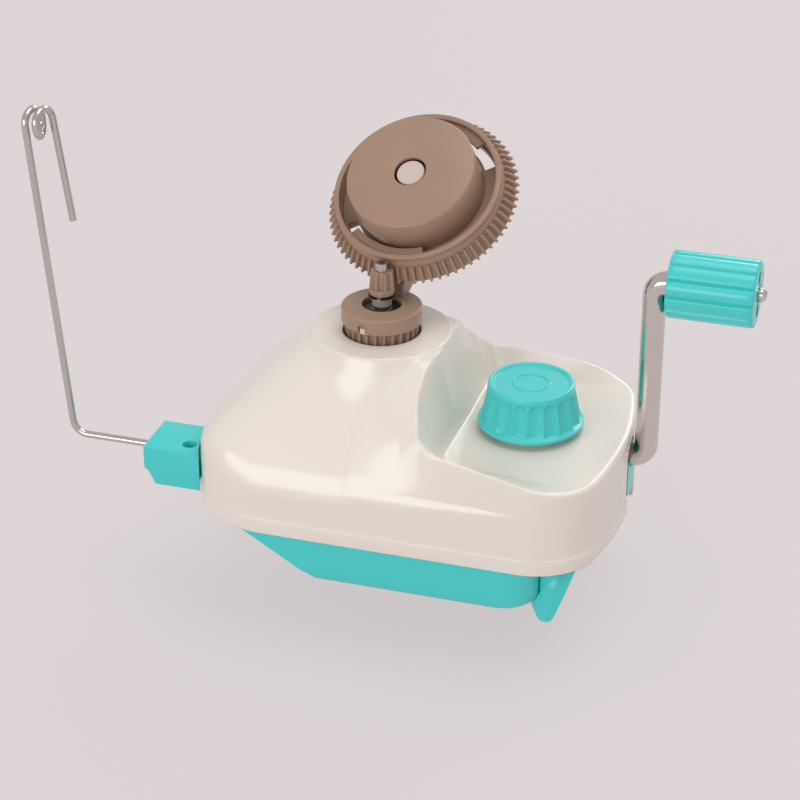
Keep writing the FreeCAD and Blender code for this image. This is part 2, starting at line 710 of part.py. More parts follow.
def guide_arm():
    """Block at the left end with a tongue that slides in the base."""
    y0, y1 = arm_y
    z0, z1 = arm_z
    x0 = arm_x
    outline = [(-56.0, z1), (x0, z1), (x0, z1 - 9.0), (x0 + 1.6, z1 - 10.2), (x0 + 4.4, z0), (-56.0, z0)]
    block = prism([V(x, y0, z) for x, z in outline], V(0, y1 - y0, 0))
    block = block.cut(plan_prism(-0.4, -2.0, 30.0))
    tongue = box(-70.0, -30.0, tongue_y[0], tongue_y[1], tongue_z[0], tongue_z[1])
    body = block.fuse(tongue)
    body = body.cut(cylinder(2.8, 40.0, V(-69.4, -23.4, -5.0)))
    body = body.cut(cylinder(wire_r + run_gap, 14.6, V(-90.0, wire_y, wire_z), V(1, 0, 0)))
    return body


def guide_wire():
    """Bent wire with a coiled eye for the yarn."""
    y = wire_y
    start = V(eye_x - 0.75 * eye_pitch, y, eye_z)
    lean = math.atan2(wire_lean, 1.0)
    up = V(-math.sin(lean), 0, math.cos(lean))
    drop = (start.z - wire_z) / up.z
    corner = start - up * drop
    turn_angle = 90.0 - math.degrees(lean)
    t = wire_bend * math.tan(math.radians(turn_angle / 2))
    p1 = corner + V(t, 0, 0)
    p2 = corner + up * t
    parts = [rod_line(wire_r, V(-76.0, y, wire_z), p1),
             rod_bend(wire_r, p1, V(-1, 0, 0), p1 + V(0, 0, wire_bend), V(0, 1, 0), turn_angle),
             rod_line(wire_r, p2, start)]
    here = start
    side = 1.0
    for i in range(3):
        step = V(eye_pitch / 2, side * 2 * eye_r, 0)
        step = step - up * step.dot(up)
        axis = step.cross(up) * (1.0 if i % 2 == 0 else -1.0)
        way = up if i % 2 == 0 else up * -1
        parts.append(rod_bend(wire_r, here, way, here + step * 0.5, axis, -180))
        here = here + step
        side = -side
    tail = V(tail_x, here.y, tail_z)
    parts.append(rod_line(wire_r, here, tail))
    return fuse(parts)


def main():
    """Build every piece and write it out."""
    os.makedirs("parts", exist_ok=True)
    makers = [top_housing, base_plate, base_screws, bearing_caps, cap_screws, spindle, spacer,
              spindle_clip, centre_pinion, spindle_screw, hub_gear, hub_cap, hub_arm, spool_axle,
              axle_cap, spool_gear, spool_drum, crank_rod, crown_gear, crank_collar, crank_grip,
              clamp_knob, clamp_screw, screw_clip, clamp_jaw, clamp_nut, guide_arm, guide_wire]
    for maker in makers:
        shape = maker()
        shape.exportStep("parts/" + maker.__name__ + ".step")
        print(maker.__name__, shape.isValid(), len(shape.Solids), round(shape.Volume, 1))


main()
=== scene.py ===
import json
import math

import bmesh
import bpy
import numpy as np
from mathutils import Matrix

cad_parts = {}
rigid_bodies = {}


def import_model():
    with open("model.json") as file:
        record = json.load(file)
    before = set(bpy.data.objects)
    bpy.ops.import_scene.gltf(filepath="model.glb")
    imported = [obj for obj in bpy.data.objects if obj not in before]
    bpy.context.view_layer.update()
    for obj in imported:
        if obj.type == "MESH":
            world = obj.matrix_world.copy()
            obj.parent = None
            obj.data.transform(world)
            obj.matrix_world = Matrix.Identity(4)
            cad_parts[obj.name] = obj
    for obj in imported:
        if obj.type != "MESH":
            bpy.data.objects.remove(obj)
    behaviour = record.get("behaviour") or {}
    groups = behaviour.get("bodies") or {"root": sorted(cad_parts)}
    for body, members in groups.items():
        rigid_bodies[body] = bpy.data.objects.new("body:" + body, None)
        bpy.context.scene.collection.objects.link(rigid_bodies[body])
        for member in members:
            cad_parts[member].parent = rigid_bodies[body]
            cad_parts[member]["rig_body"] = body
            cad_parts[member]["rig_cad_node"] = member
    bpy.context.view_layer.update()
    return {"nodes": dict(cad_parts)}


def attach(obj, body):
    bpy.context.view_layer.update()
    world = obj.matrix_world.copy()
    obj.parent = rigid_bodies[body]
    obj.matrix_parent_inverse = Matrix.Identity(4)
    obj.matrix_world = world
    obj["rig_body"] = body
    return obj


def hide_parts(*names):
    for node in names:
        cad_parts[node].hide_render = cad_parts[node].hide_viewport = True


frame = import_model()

# White shell. One moulding in glossy milky plastic: a skirt with a rim band, a round turret for the hub,
# long slopes to the left and front, and a sunk deck for the knob. Six screws from below hold it down.


def skin(name, grid, body, material, wrap=(True, True)):
    """Mesh from a grid of points in millimetres, shape (u, v, 3); wrap says which directions close."""
    nu, nv = grid.shape[:2]
    iu = np.arange(nu if wrap[0] else nu - 1)
    iv = np.arange(nv if wrap[1] else nv - 1)
    a, b = np.meshgrid(iu, iv, indexing="ij")
    a2 = (a + 1) % nu
    b2 = (b + 1) % nv
    quads = np.stack([a * nv + b, a2 * nv + b, a2 * nv + b2, a * nv + b2], -1).reshape(-1, 4)
    mesh = bpy.data.meshes.new(name)
    mesh.vertices.add(nu * nv)
    mesh.vertices.foreach_set("co", (grid * 0.001).astype(np.float32).ravel())
    mesh.loops.add(quads.size)
    mesh.loops.foreach_set("vertex_index", quads.astype(np.int32).ravel())
    mesh.polygons.add(len(quads))
    mesh.polygons.foreach_set("loop_start", np.arange(0, quads.size, 4, dtype=np.int32))
    mesh.polygons.foreach_set("use_smooth", np.ones(len(quads), dtype=bool))
    mesh.update()
    mesh.validate()
    piece = bpy.data.objects.new(name, mesh)
    bpy.context.scene.collection.objects.link(piece)
    mesh.materials.append(material)
    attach(piece, body)
    return piece


def outward(piece):
    """Welds the seams of a closed surface and turns its faces outwards."""
    form = bmesh.new()
    form.from_mesh(piece.data)
    bmesh.ops.remove_doubles(form, verts=form.verts, dist=1e-6)
    bmesh.ops.dissolve_degenerate(form, edges=form.edges, dist=1e-7)
    bmesh.ops.recalc_face_normals(form, faces=form.faces)
    form.to_mesh(piece.data)
    form.free()
    return piece


def tone(red, green, blue):
    """Colour in linear light from its usual 0 to 255 numbers."""
    c = np.array([red, green, blue]) / 255.0
    c = np.where(c <= 0.04045, c / 12.92, ((c + 0.055) / 1.055) ** 2.4)
    return (float(c[0]), float(c[1]), float(c[2]), 1.0)


def moulded(name, colour, rough, cloud=0.03, grain=0.02, scatter=0.0, coat=0.0):
    """Moulded plastic: faint clouding of colour and gloss, and a fine grain of the mould in the bump."""
    material = bpy.data.materials.new(name)
    material.use_nodes = True
    tree = material.node_tree
    shader = tree.nodes["Principled BSDF"]
    place = tree.nodes.new("ShaderNodeTexCoord")
    wide = tree.nodes.new("ShaderNodeTexNoise")
    wide.inputs["Scale"].default_value = 38.0
    wide.inputs["Detail"].default_value = 3.0
    fine = tree.nodes.new("ShaderNodeTexNoise")
    fine.inputs["Scale"].default_value = 900.0
    fine.inputs["Detail"].default_value = 2.0
    tint = tree.nodes.new("ShaderNodeMix")
    tint.data_type = "RGBA"
    pale = [min(1.0, c * (1.0 + cloud)) for c in colour[:3]] + [1.0]
    deep = [c * (1.0 - cloud) for c in colour[:3]] + [1.0]
    tint.inputs[6].default_value = deep
    tint.inputs[7].default_value = pale
    gloss = tree.nodes.new("ShaderNodeMapRange")
    gloss.inputs["To Min"].default_value = rough * 0.86
    gloss.inputs["To Max"].default_value = rough * 1.16
    bump = tree.nodes.new("ShaderNodeBump")
    bump.inputs["Strength"].default_value = grain
    bump.inputs["Distance"].default_value = 0.0002
    for node in (wide, fine):
        tree.links.new(place.outputs["Object"], node.inputs["Vector"])
    tree.links.new(wide.outputs["Fac"], tint.inputs["Factor"])
    tree.links.new(tint.outputs[2], shader.inputs["Base Color"])
    tree.links.new(fine.outputs["Fac"], gloss.inputs["Value"])
    tree.links.new(gloss.outputs["Result"], shader.inputs["Roughness"])
    tree.links.new(fine.outputs["Fac"], bump.inputs["Height"])
    tree.links.new(bump.outputs["Normal"], shader.inputs["Normal"])
    if scatter:
        shader.inputs["Subsurface Weight"].default_value = scatter
        shader.inputs["Subsurface Radius"].default_value = (1.0, 0.85, 0.7)
        shader.inputs["Subsurface Scale"].default_value = 0.003
    if coat:
        shader.inputs["Coat Weight"].default_value = coat
        shader.inputs["Coat Roughness"].default_value = 0.12
    return material


def soft_least(a, b, k):
    """Smaller of two heights with the crease between them rounded over about k."""
    h = np.clip(0.5 + 0.5 * (b - a) / k, 0.0, 1.0)
    return b + (a - b) * h - k * h * (1.0 - h)


half_width = 52.7
right_end, right_bulge, right_corner = 95.2, 150.0, 18.0
left_end, left_bulge, left_corner = -68.5, 82.0, 14.0
turret_r = 27.2
top_z = 64.08
deck_z = 31.9
mouth_r = 14.4


def outline_reach(x, y):
    """Distance outside the rim's plan: straight sides, bulged ends and round corners, negative inside."""
    right = np.where(x > 0, np.hypot(x - (right_end - right_bulge), y) - right_bulge, -99.0)
    left = np.where(x < 0, np.hypot(x - (left_end + left_bulge), y) - left_bulge, -99.0)
    reach = np.abs(y) - half_width
    for end, r in ((right, right_corner), (left, left_corner)):
        a = reach + r
        b = end + r
        reach = np.where((a > 0) & (b > 0), np.hypot(a, b) - r, np.maximum(reach, end))
    return reach


def outline_radius(angle, inset):
    """How far the plan reaches from the hub's axis at each angle, by halving."""
    low = np.full_like(angle, 20.0)
    high = np.full_like(angle, 130.0)
    for step in range(40):
        mid = 0.5 * (low + high)
        inside = outline_reach(mid * np.cos(angle), mid * np.sin(angle)) + inset < 0
        low = np.where(inside, mid, low)
        high = np.where(inside, high, mid)
    return low


def front_slope(x, y):
    """Leaning front and back faces: from the shoulder line up, steeper and steeper toward the right."""
    at = [-80.0, 0.0, 10.0, 20.0, 28.0, 36.0, 50.0, 70.0, 100.0]
    rise = np.interp(x, at, [1.66, 1.66, 1.72, 2.05, 2.7, 3.9, 7.0, 12.0, 14.0])
    foot = np.interp(x, at, [50.5, 50.5, 50.5, 50.5, 50.5, 50.6, 51.0, 52.1, 52.3])
    over = foot - np.abs(y)
    return 24.4 + np.where(over > 0, rise * over, 0.9 * over)


def turret_flank(x, y):
    """Slopes round the turret, short of its rim: leaning planes at the left, a straight cone at the right."""
    top = np.full_like(x, 63.0)
    r = 13.0
    for turn in np.linspace(90.0, 270.0, 37):
        c = math.cos(math.radians(turn))
        s = math.sin(math.radians(turn))
        high = np.interp(abs(turn - 180.0), [0.0, 45.0, 90.0], [63.0, 61.5, 57.5])
        reach = (65.6 - r) * abs(c) + (50.5 - r) * abs(s) + r
        rise = (high - 23.0) / (reach - turret_r)
        top = soft_least(top, high - rise * (x * c + y * s - turret_r), 0.4)
    azimuth = np.degrees(np.arctan2(np.abs(y), x))
    high = np.interp(azimuth, [0.0, 30.0, 44.0, 53.0, 58.0, 70.0, 90.0],
                     [63.6, 63.6, 63.2, 61.5, 60.6, 58.8, 57.5])
    lean = np.interp(azimuth, [0.0, 30.0, 44.0, 53.0, 58.0, 70.0, 80.0, 90.0],
                     [0.34, 0.38, 0.50, 0.66, 0.72, 1.02, 1.28, 1.48])
    cone = high - lean * (np.hypot(x, y) - turret_r)
    return np.where(x > 0, soft_least(63.0, cone, 0.4), top)


def recess_height(x, y):
    """Deck floor, rising outside a rounded rectangle: steeply at the turret, gently at the flanks."""
    a = 32.0 - x + 11.0
    b = np.abs(y) - 39.3 + 11.0
    out = np.hypot(np.maximum(a, 0.0), np.maximum(b, 0.0)) - 11.0
    out = np.where((a <= 0) & (b <= 0), -11.0 + 0.0 * x, out)
    way = np.degrees(np.arctan2(np.maximum(b, 0.0), np.maximum(a, 1e-6)))
    left = np.interp(np.abs(y), [0.0, 10.0, 20.0, 28.3], [5.65, 5.2, 3.9, 2.9])
    flank = np.interp(x, [30.0, 35.0, 40.0, 50.0, 60.0, 70.0, 80.0, 95.0],
                      [1.3, 1.1, 0.95, 0.67, 0.447, 0.254, 0.1, 0.05])
    corner = np.interp(way, [0.0, 5.0, 25.0, 40.0, 51.0, 66.0], [2.9, 2.7, 2.0, 1.23, 0.985, 0.98])
    rise = np.where(way <= 0.01, left, corner)
    rise = np.where(way > 66.0, corner + (flank - corner) * (way - 66.0) / 24.0, rise)
    lift = 0.5 * (out + np.sqrt(out * out + 1.6 ** 2)) - 0.35
    return deck_z + rise * np.maximum(lift, 0.0)


def shell_height(x, y):
    """Outer height of the shell: slopes, turret and deck, rounded off over the last four millimetres."""
    z = soft_least(front_slope(x, y), turret_flank(x, y), 3.0)
    neck = soft_least(top_z, 64.3 - 2.3 * (np.hypot(x, y) - 25.7), 1.2)
    z = -soft_least(-z, -neck, 3.0)
    z = np.minimum(z, top_z)
    z = soft_least(z, recess_height(x, y), 1.5)
    inside = np.clip(-outline_reach(x, y) - 0.6, 0.0, None)
    r = np.interp(x, [-60.0, 0.0, 30.0, 50.0, 80.0, 92.0], [4.5, 4.5, 3.2, 1.9, 1.4, 1.8])
    part = np.clip(r - inside, 0.0, r)
    return z - (r - np.sqrt(r * r - part * part))


def shell_points():
    """Closed skin: opening, turret, slopes, wall, rim band, underside, inner wall and ceiling."""
    plain = np.linspace(0.0, 2 * math.pi, 2881)[:-1]
    near = np.abs(np.degrees(np.arctan2(np.sin(plain), np.cos(plain))))
    weight = 1.0 + 1.3 * np.exp(-((near - 40.0) / 22.0) ** 2)
    total = np.concatenate([[0.0], np.cumsum(weight)])
    angle = np.interp(np.linspace(0.0, total[-1], 577)[:-1], total, np.linspace(0.0, 2 * math.pi, 2881))
    c = np.cos(angle)[:, None]
    s = np.sin(angle)[:, None]
    edge = outline_radius(angle, 0.6)[:, None]
    u = np.linspace(0.0, 1.0, 1400)[None, :]
    reach = 15.2 + (edge - 15.2) * u
    height = shell_height(reach * c, reach * s)
    turn = np.abs(np.gradient(np.arctan2(np.gradient(height, axis=1), np.gradient(reach, axis=1)), axis=1))
    length = np.hypot(np.gradient(reach, axis=1), np.gradient(height, axis=1)) + 1.6 * turn
    run = np.cumsum(length, axis=1)
    run = (run - run[:, :1]) / (run[:, -1:] - run[:, :1])
    want = np.linspace(0.0, 1.0, 104)
    r_out = np.stack([np.interp(want, row, far) for row, far in zip(run, reach)])
    z_out = shell_height(r_out * c, r_out * s)
    lip = np.array([(mouth_r, 54.0), (mouth_r, 58.0), (mouth_r, 62.6), (14.45, 63.4), (14.6, 63.85),
                    (14.85, 64.02)])
    r_lip = np.broadcast_to(lip[:, 0], (len(angle), len(lip)))
    z_lip = np.broadcast_to(lip[:, 1], r_lip.shape)
    wall = np.array([(0.0, 17.0), (0.0, 13.0), (0.0, 9.0), (0.0, 6.6), (0.04, 6.25), (0.2, 6.0), (0.42, 5.9),
                     (0.56, 5.75), (0.6, 5.4), (0.6, 3.0), (0.6, 0.5), (0.45, 0.12), (0.1, 0.0), (-2.0, 0.0),
                     (-2.4, 0.1), (-2.4, 4.0), (-2.4, 10.0), (-2.4, 14.0)])
    r_wall = edge + wall[:, 0]
    z_low = z_out[:, -1:]
    z_wall = np.minimum(np.broadcast_to(wall[:, 1], r_wall.shape), z_low - 0.3)
    inner = np.linspace(1.0, 0.0, 40)[None, :]
    r_in = 17.0 + (edge - 2.4 - 17.0) * inner
    z_in = shell_height(r_in * c, r_in * s) - 2.6
    for way in np.radians(np.arange(0.0, 360.0, 30.0)):
        x = r_in * c + 2.5 * math.cos(way)
        y = r_in * s + 2.5 * math.sin(way)
        z_in = np.minimum(z_in, np.where(outline_reach(x, y) < -0.6, shell_height(x, y) - 0.8, z_in))
    z_in = np.maximum(z_in, 15.0)
    r_all = np.concatenate([r_lip, r_out, r_wall, r_in], axis=1)
    z_all = np.concatenate([z_lip, z_out, z_wall, z_in], axis=1)
    return np.stack([r_all * c, r_all * s, z_all], -1)


shell_white = moulded("shell_white", tone(229, 222, 212), 0.24, cloud=0.012, grain=0.012, scatter=0.12,
                      coat=0.25)
shell = skin("shell", shell_points(), "base", shell_white)
outward(shell)


# The crank leaves through an arch in the right wall, open down to the rim; the yarn arm's tongue enters
# through a square slot at the left.


def cut_away(piece, low, high):
    """Takes out of a piece the closed form between two flat outlines with as many corners, in millimetres."""
    n = len(low)
    points = [(x * 0.001, y * 0.001, z * 0.001) for x, y, z in [*low, *high]]
    around = [(i, (i + 1) % n, n + (i + 1) % n, n + i) for i in range(n)]
    caps = [tuple(range(n)), tuple(range(2 * n - 1, n - 1, -1))]
    mesh = bpy.data.meshes.new("opening")
    mesh.from_pydata(points, [], around + caps)
    tool = bpy.data.objects.new("opening", mesh)
    bpy.context.scene.collection.objects.link(tool)
    outward(tool)
    cut = piece.modifiers.new("cut", "BOOLEAN")
    cut.operation = "DIFFERENCE"
    cut.solver = "EXACT"
    cut.object = tool
    bpy.context.view_layer.update()
    done = bpy.data.meshes.new_from_object(piece.evaluated_get(bpy.context.evaluated_depsgraph_get()))
    piece.modifiers.remove(cut)
    piece.data = done
    bpy.data.objects.remove(tool)


bow = np.radians(np.linspace(0.0, 180.0, 25))
crank_y = 8.5
arch = [(crank_y + 6.9 * math.cos(t), 21.77 + 6.9 * math.sin(t)) for t in bow]
arch += [(crank_y - 6.9, -1.0), (crank_y + 6.9, -1.0)]
cut_away(shell, [(88.0, y, z) for y, z in arch], [(110.0, y, z) for y, z in arch])
slot = [(-27.0, -1.0), (-12.0, -1.0), (-12.0, 13.0), (-27.0, 13.0)]
cut_away(shell, [(-76.0, y, z) for y, z in slot], [(-63.0, y, z) for y, z in slot])
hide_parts("top_housing")


# Knob boss: a low round step of the deck in the shell's own plastic. It is moulded with the shell, and the
# clamp screw turns in its hole.


def rounded(corners, radius, steps=4, closed=False):
    """Broken line with every corner replaced by a small parabola; radius is one number, or one a corner."""
    p = np.asarray(corners, float)
    size = np.broadcast_to(np.asarray(radius, float), (len(p),))
    before = np.roll(p, 1, axis=0)
    after = np.roll(p, -1, axis=0)
    back = np.linalg.norm(before - p, axis=1)
    ahead = np.linalg.norm(after - p, axis=1)
    cut = np.minimum(size, 0.46 * np.minimum(back, ahead))[:, None]
    start = p + (before - p) / back[:, None] * cut
    stop = p + (after - p) / ahead[:, None] * cut
    t = np.linspace(0.0, 1.0, steps + 1)[None, :, None]
    bend = (1 - t) ** 2 * start[:, None] + 2 * t * (1 - t) * p[:, None] + t * t * stop[:, None]
    if closed:
        return bend.reshape(-1, p.shape[1])
    middle = bend[1:-1].reshape(-1, p.shape[1])
    return np.concatenate([p[:1], middle, p[-1:]])


def turned(profile, count):
    """Surface of revolution about Z from a profile of radius and height."""
    angle = np.linspace(0.0, 2 * math.pi, count + 1)[:-1]
    r = profile[:, 0][None, :]
    z = np.broadcast_to(profile[:, 1][None, :], (count, len(profile)))
    return np.stack([r * np.cos(angle)[:, None], r * np.sin(angle)[:, None], z], -1)


knob_axis = np.array([57.55, 0.0, 0.0])
boss = rounded([(3.4, 31.4), (15.0, 31.4), (15.0, 34.1), (3.4, 34.1)], 0.5, closed=True)
step = turned(boss, 96) + knob_axis
outward(skin("knob_boss", step, "base", shell_white))


# Floor plate and bearing caps: teal mouldings with a soft gloss. The plate closes the shell from below and
# carries the spindle's post, the crank's bearings and the rails; the caps are screwed down over the crank.


def dress(node, material):
    """Gives a solid its material as it is."""
    piece = frame["nodes"][node]
    piece.data.materials.clear()
    piece.data.materials.append(material)


teal = moulded("teal_plastic", tone(62, 206, 204), 0.3, cloud=0.02, grain=0.02, scatter=0.05, coat=0.25)
dress("base_plate", teal)
dress("bearing_caps", teal)


# Clamp jaw: a teal moulding drawn up by the clamp screw. A shallow boat with a pointed left end, a rounded
# keel line and round right corners.


def strip(name, sections, body, material):
    """Closed form from a stack of closed sections, shape (n, m, 3), with each end drawn to its middle."""
    ends = np.broadcast_to(sections[[0, -1]].mean(axis=1, keepdims=True), (2, sections.shape[1], 3))
    grid = np.concatenate([ends[:1], sections, ends[1:]])
    return outward(skin(name, grid, body, material, wrap=(False, True)))


keel = np.array([-0.45, -0.5, -1.0, -3.0, -6.0, -9.0, -12.0, -14.0, -15.8, -17.0, -17.8, -18.1])
left = np.interp(-keel, [0.4, 17.2, 18.4], [-40.0, -11.9, -6.0])
right = np.interp(-keel, [0.4, 12.0, 15.8, 17.0, 17.8, 18.1], [73.4, 73.4, 71.6, 69.8, 67.4, 64.0])
deep = np.interp(-keel, [0.4, 14.0, 17.0, 17.8, 18.1], [51.0, 51.0, 49.8, 48.6, 46.0])
hull = []
for z, x0, x1, y1 in zip(keel, left, right, deep):
    plan = [(x0, -y1, z), (x1, -y1, z), (x1, y1, z), (x0, y1, z)]
    hull.append(rounded(plan, [2.5, 13.0, 13.0, 2.5], 8, closed=True))
hull = np.array(hull)
middle = hull.mean(axis=1, keepdims=True)
hull[0] += (middle[0] - hull[0]) * 0.008
flat = hull[[0, -1]] + (middle[[0, -1]] - hull[[0, -1]]) * 0.03
jaw = strip("jaw_hull", np.concatenate([flat[:1], hull, flat[1:]]), "jaw", teal)


# The jaw is hollow from below, as its mould leaves it: a pocket on each side of a middle rib, and a round
# boss that holds the nut and lets the screw through.
for side in (-1.0, 1.0):
    ring = []
    for z, x0 in ((-30.0, -10.4), (-2.9, -34.75)):
        plan = [(x0, 1.2 * side, z), (67.5, 1.2 * side, z), (67.5, 47.5 * side, z), (x0, 47.5 * side, z)]
        ring.append(rounded(plan, [1.0, 1.0, 11.0, 1.0], 8, closed=True))
    cut_away(jaw, ring[0], ring[1])
screw_room = 3.45
nut_room = 5.9
nut_top = -12.4
for r, z0, z1 in ((screw_room, nut_top, 3.0), (nut_room, -30.0, nut_top)):
    bore = turned(np.array([(r, z0), (r, z1)]), 48) + knob_axis
    cut_away(jaw, bore[:, 0], bore[:, 1])
holder_line = rounded([(screw_room, -1.2), (8.0, -1.2), (8.0, -17.6), (nut_room, -17.6), (nut_room, nut_top),
                       (screw_room, nut_top)], 0.3, closed=True)
holder = skin("jaw_boss", turned(holder_line, 64) + knob_axis, "jaw", teal)
outward(holder)
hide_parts("clamp_jaw")


# Jaw fins: four slanted plates at the right end, moulded with the jaw, that run up into the base as guides.
fin_line = rounded([(70.3, -17.4), (73.4, -24.3), (77.6, -23.9), (78.9, -21.3), (83.1, -9.5), (86.0, -1.0),
                    (81.6, -0.4), (81.6, 26.8), (73.4, 26.8), (73.4, -12.0), (70.3, -12.0)],
                   [0.5, 2.0, 2.2, 1.5, 3.0, 0.8, 0.3, 1.0, 1.0, 0.3, 0.3], 4, closed=True)
for place in (-41.0, -17.5, 17.5, 41.0):
    rows = []
    for across, pull in ((-2.2, 0.4), (-2.05, 0.12), (-1.8, 0.0), (1.8, 0.0), (2.05, 0.12), (2.2, 0.4)):
        row = fin_line + (np.array([77.5, 0.0]) - fin_line) * (pull / 12.0)
        rows.append(np.stack([row[:, 0], np.full(len(row), place + across), row[:, 1]], -1))
    rows = np.array(rows)
    fin = skin("fin_%d" % (place * 10), rows, "jaw", teal, wrap=(False, True))
    form = bmesh.new()
    form.from_mesh(fin.data)
    bmesh.ops.holes_fill(form, edges=[e for e in form.edges if e.is_boundary], sides=0)
    form.to_mesh(fin.data)
    form.free()
    outward(fin)


# Arm block: a teal moulding with a tongue that slides in the base's rails, drilled for the wire. It keeps the
# solid's own form with its edges eased, as a mould leaves them.


def eased(node, body, material, width, segments=2, angle=32.0):
    """Copy of a solid with its facets welded and its sharp edges rounded by width, in millimetres."""
    piece = frame["nodes"][node].copy()
    piece.data = piece.data.copy()
    piece.name = node + "_eased"
    piece.parent = None
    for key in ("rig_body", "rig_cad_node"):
        if key in piece:
            del piece[key]
    bpy.context.scene.collection.objects.link(piece)
    form = bmesh.new()
    form.from_mesh(piece.data)
    bmesh.ops.remove_doubles(form, verts=form.verts, dist=2e-6)
    bmesh.ops.dissolve_limit(form, angle_limit=math.radians(0.6), verts=form.verts, edges=form.edges)
    form.to_mesh(piece.data)
    form.free()
    piece.data.materials.clear()
    piece.data.materials.append(material)
    piece.data.polygons.foreach_set("use_smooth", np.ones(len(piece.data.polygons), dtype=bool))
    bevel = piece.modifiers.new("edges", "BEVEL")
    bevel.width = width * 0.001
    bevel.segments = segments
    bevel.limit_method = "ANGLE"
    bevel.angle_limit = math.radians(angle)
    bevel.harden_normals = True
    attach(piece, body)
    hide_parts(node)
    return piece


eased("guide_arm", "arm", teal, 0.55, 3)


# Grip: a round bar with twelve broad flats between narrow grooves, drilled through for the crank's pin, with
# two round core holes in each end. It spins on the pin.
flats = np.linspace(0.0, 2 * math.pi, 601)[:-1]
away = np.abs((flats * 12.0 / (2 * math.pi) + 0.5) % 1.0 - 0.5) * 30.0
ring = 12.42 - 0.95 * np.exp(-(away / 2.6) ** 2) - 0.28 * (np.cos(np.radians(away * 12.0)) * 0.5 + 0.5)
along = np.array([(105.3, 2.9), (105.3, 6.0), (105.3, 10.0), (105.35, 11.3), (105.6, 11.75), (106.1, 12.0),
                  (108.0, 12.0), (121.0, 12.05), (134.0, 12.0), (135.9, 12.0), (136.4, 11.75), (136.65, 11.3),
                  (136.7, 10.0), (136.7, 6.0), (136.7, 2.9), (133.0, 2.9), (109.0, 2.9)])
share = np.clip((along[:, 1] - 9.0) / 3.0, 0.0, 1.0)[None, :]
bar = along[:, 1][None, :] * (1.0 + share * (ring[:, None] / 12.05 - 1.0))
grip_z = 93.17
grip_grid = np.stack([np.broadcast_to(along[:, 0], bar.shape), crank_y + bar * np.cos(flats)[:, None],
                      grip_z + bar * np.sin(flats)[:, None]], -1)
grip = outward(skin("grip", grip_grid, "grip", teal))
bow = np.radians(np.linspace(0.0, 360.0, 33)[:-1])
for start, stop in ((131.0, 138.0), (104.0, 111.0)):
    for high in (grip_z + 6.2, grip_z - 6.2):
        hole = [(crank_y + 2.4 * math.cos(t), high + 2.4 * math.sin(t)) for t in bow]
        cut_away(grip, [(start, y, z) for y, z in hole], [(stop, y, z) for y, z in hole])
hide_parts("crank_grip")


# Knob: a flange, a fluted cone whose flutes run out in scallops below a rolled edge, and a shallow dish
# with a raised ring in the middle. It turns on the clamp screw.
knob_line = [(3.0, 34.5), (19.7, 34.5), (19.7, 35.7), (18.6, 36.1), (17.7, 40.5), (16.8, 45.0), (16.0, 48.6),
             (16.25, 49.0), (15.8, 50.8), (14.4, 50.8), (13.9, 50.0), (7.0, 50.0), (6.9, 50.45), (6.3, 50.45),
             (6.2, 50.0), (0.0, 50.0)]
line = rounded(knob_line, [0.0, 0.4, 0.4, 0.4, 1.0, 1.0, 0.3, 0.3, 0.5, 0.3, 0.3, 0.2, 0.2, 0.2, 0.2, 0.0], 4)
ride_up = np.concatenate([[0.0], np.cumsum(np.hypot(*np.diff(line, axis=0).T))])
want = np.unique(np.concatenate([ride_up, np.linspace(0.0, ride_up[-1], 70)]))
line = np.stack([np.interp(want, ride_up, line[:, 0]), np.interp(want, ride_up, line[:, 1])], -1)
turns = np.linspace(0.0, 2 * math.pi, 433)[:-1]
wave = np.abs(np.sin(9.0 * turns)) ** 0.8
reach = 48.5 - 2.6 * (1.0 - wave) ** 1.5
side = (line[:, 0] > 14.5) & (line[:, 1] > 36.0) & (line[:, 1] < 48.9)
down = np.clip((reach[:, None] - line[:, 1][None, :]) / 0.9, 0.0, 1.0)
up = np.clip((line[:, 1] - 36.1) / 0.7, 0.0, 1.0)[None, :]
carve = 1.25 * wave[:, None] * (down * down * (3 - 2 * down)) * up * side[None, :]
knob_grid = turned(line, 432)
pull = 1.0 - carve / np.maximum(line[:, 0][None, :], 1.0)
knob_grid[:, :, 0] *= pull
knob_grid[:, :, 1] *= pull
knob_grid += knob_axis
knob = skin("knob", knob_grid, "knob", teal, wrap=(True, False))
outward(knob)
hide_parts("clamp_knob")


# Hub gear: a brown moulded sleeve with a slatted ring, whose lower gear the crown gear drives. It turns on
# the spindle.
brown = moulded("brown_plastic", tone(160, 132, 112), 0.38, cloud=0.02, grain=0.02)
eased("hub_gear", "hub", brown, 0.15)


# Round cap over the gear ring, brown and moulded, pressed on the sleeve: a lathe form with a raised ring round
# its sunk middle, and a notch at the lower edge.
cap_corners = [(3.1, 68.4), (13.0, 68.4), (13.0, 68.0), (15.05, 68.0), (15.05, 73.9), (8.4, 73.9),
               (8.4, 74.3), (7.4, 74.3), (7.4, 72.3), (3.1, 72.3)]
cap_line = rounded(cap_corners, [0.1, 0.1, 0.1, 0.3, 0.7, 0.15, 0.2, 0.2, 0.2, 0.1], 4, closed=True)
cap = outward(skin("cap", turned(cap_line, 180), "hub", brown))
notch = math.radians(-102.0)


def at_notch(out, across, up):
    """Point so far out from the hub's axis at the notch, across it and up."""
    x = out * math.cos(notch) - across * math.sin(notch)
    y = out * math.sin(notch) + across * math.cos(notch)
    return x, y, up


corners = [(-1.6, 67.0), (-1.6, 70.6), (1.6, 70.6), (1.6, 67.0)]
cut_away(cap, [at_notch(12.9, across, up) for across, up in corners],
         [at_notch(17.0, across, up) for across, up in corners])
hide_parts("hub_cap")


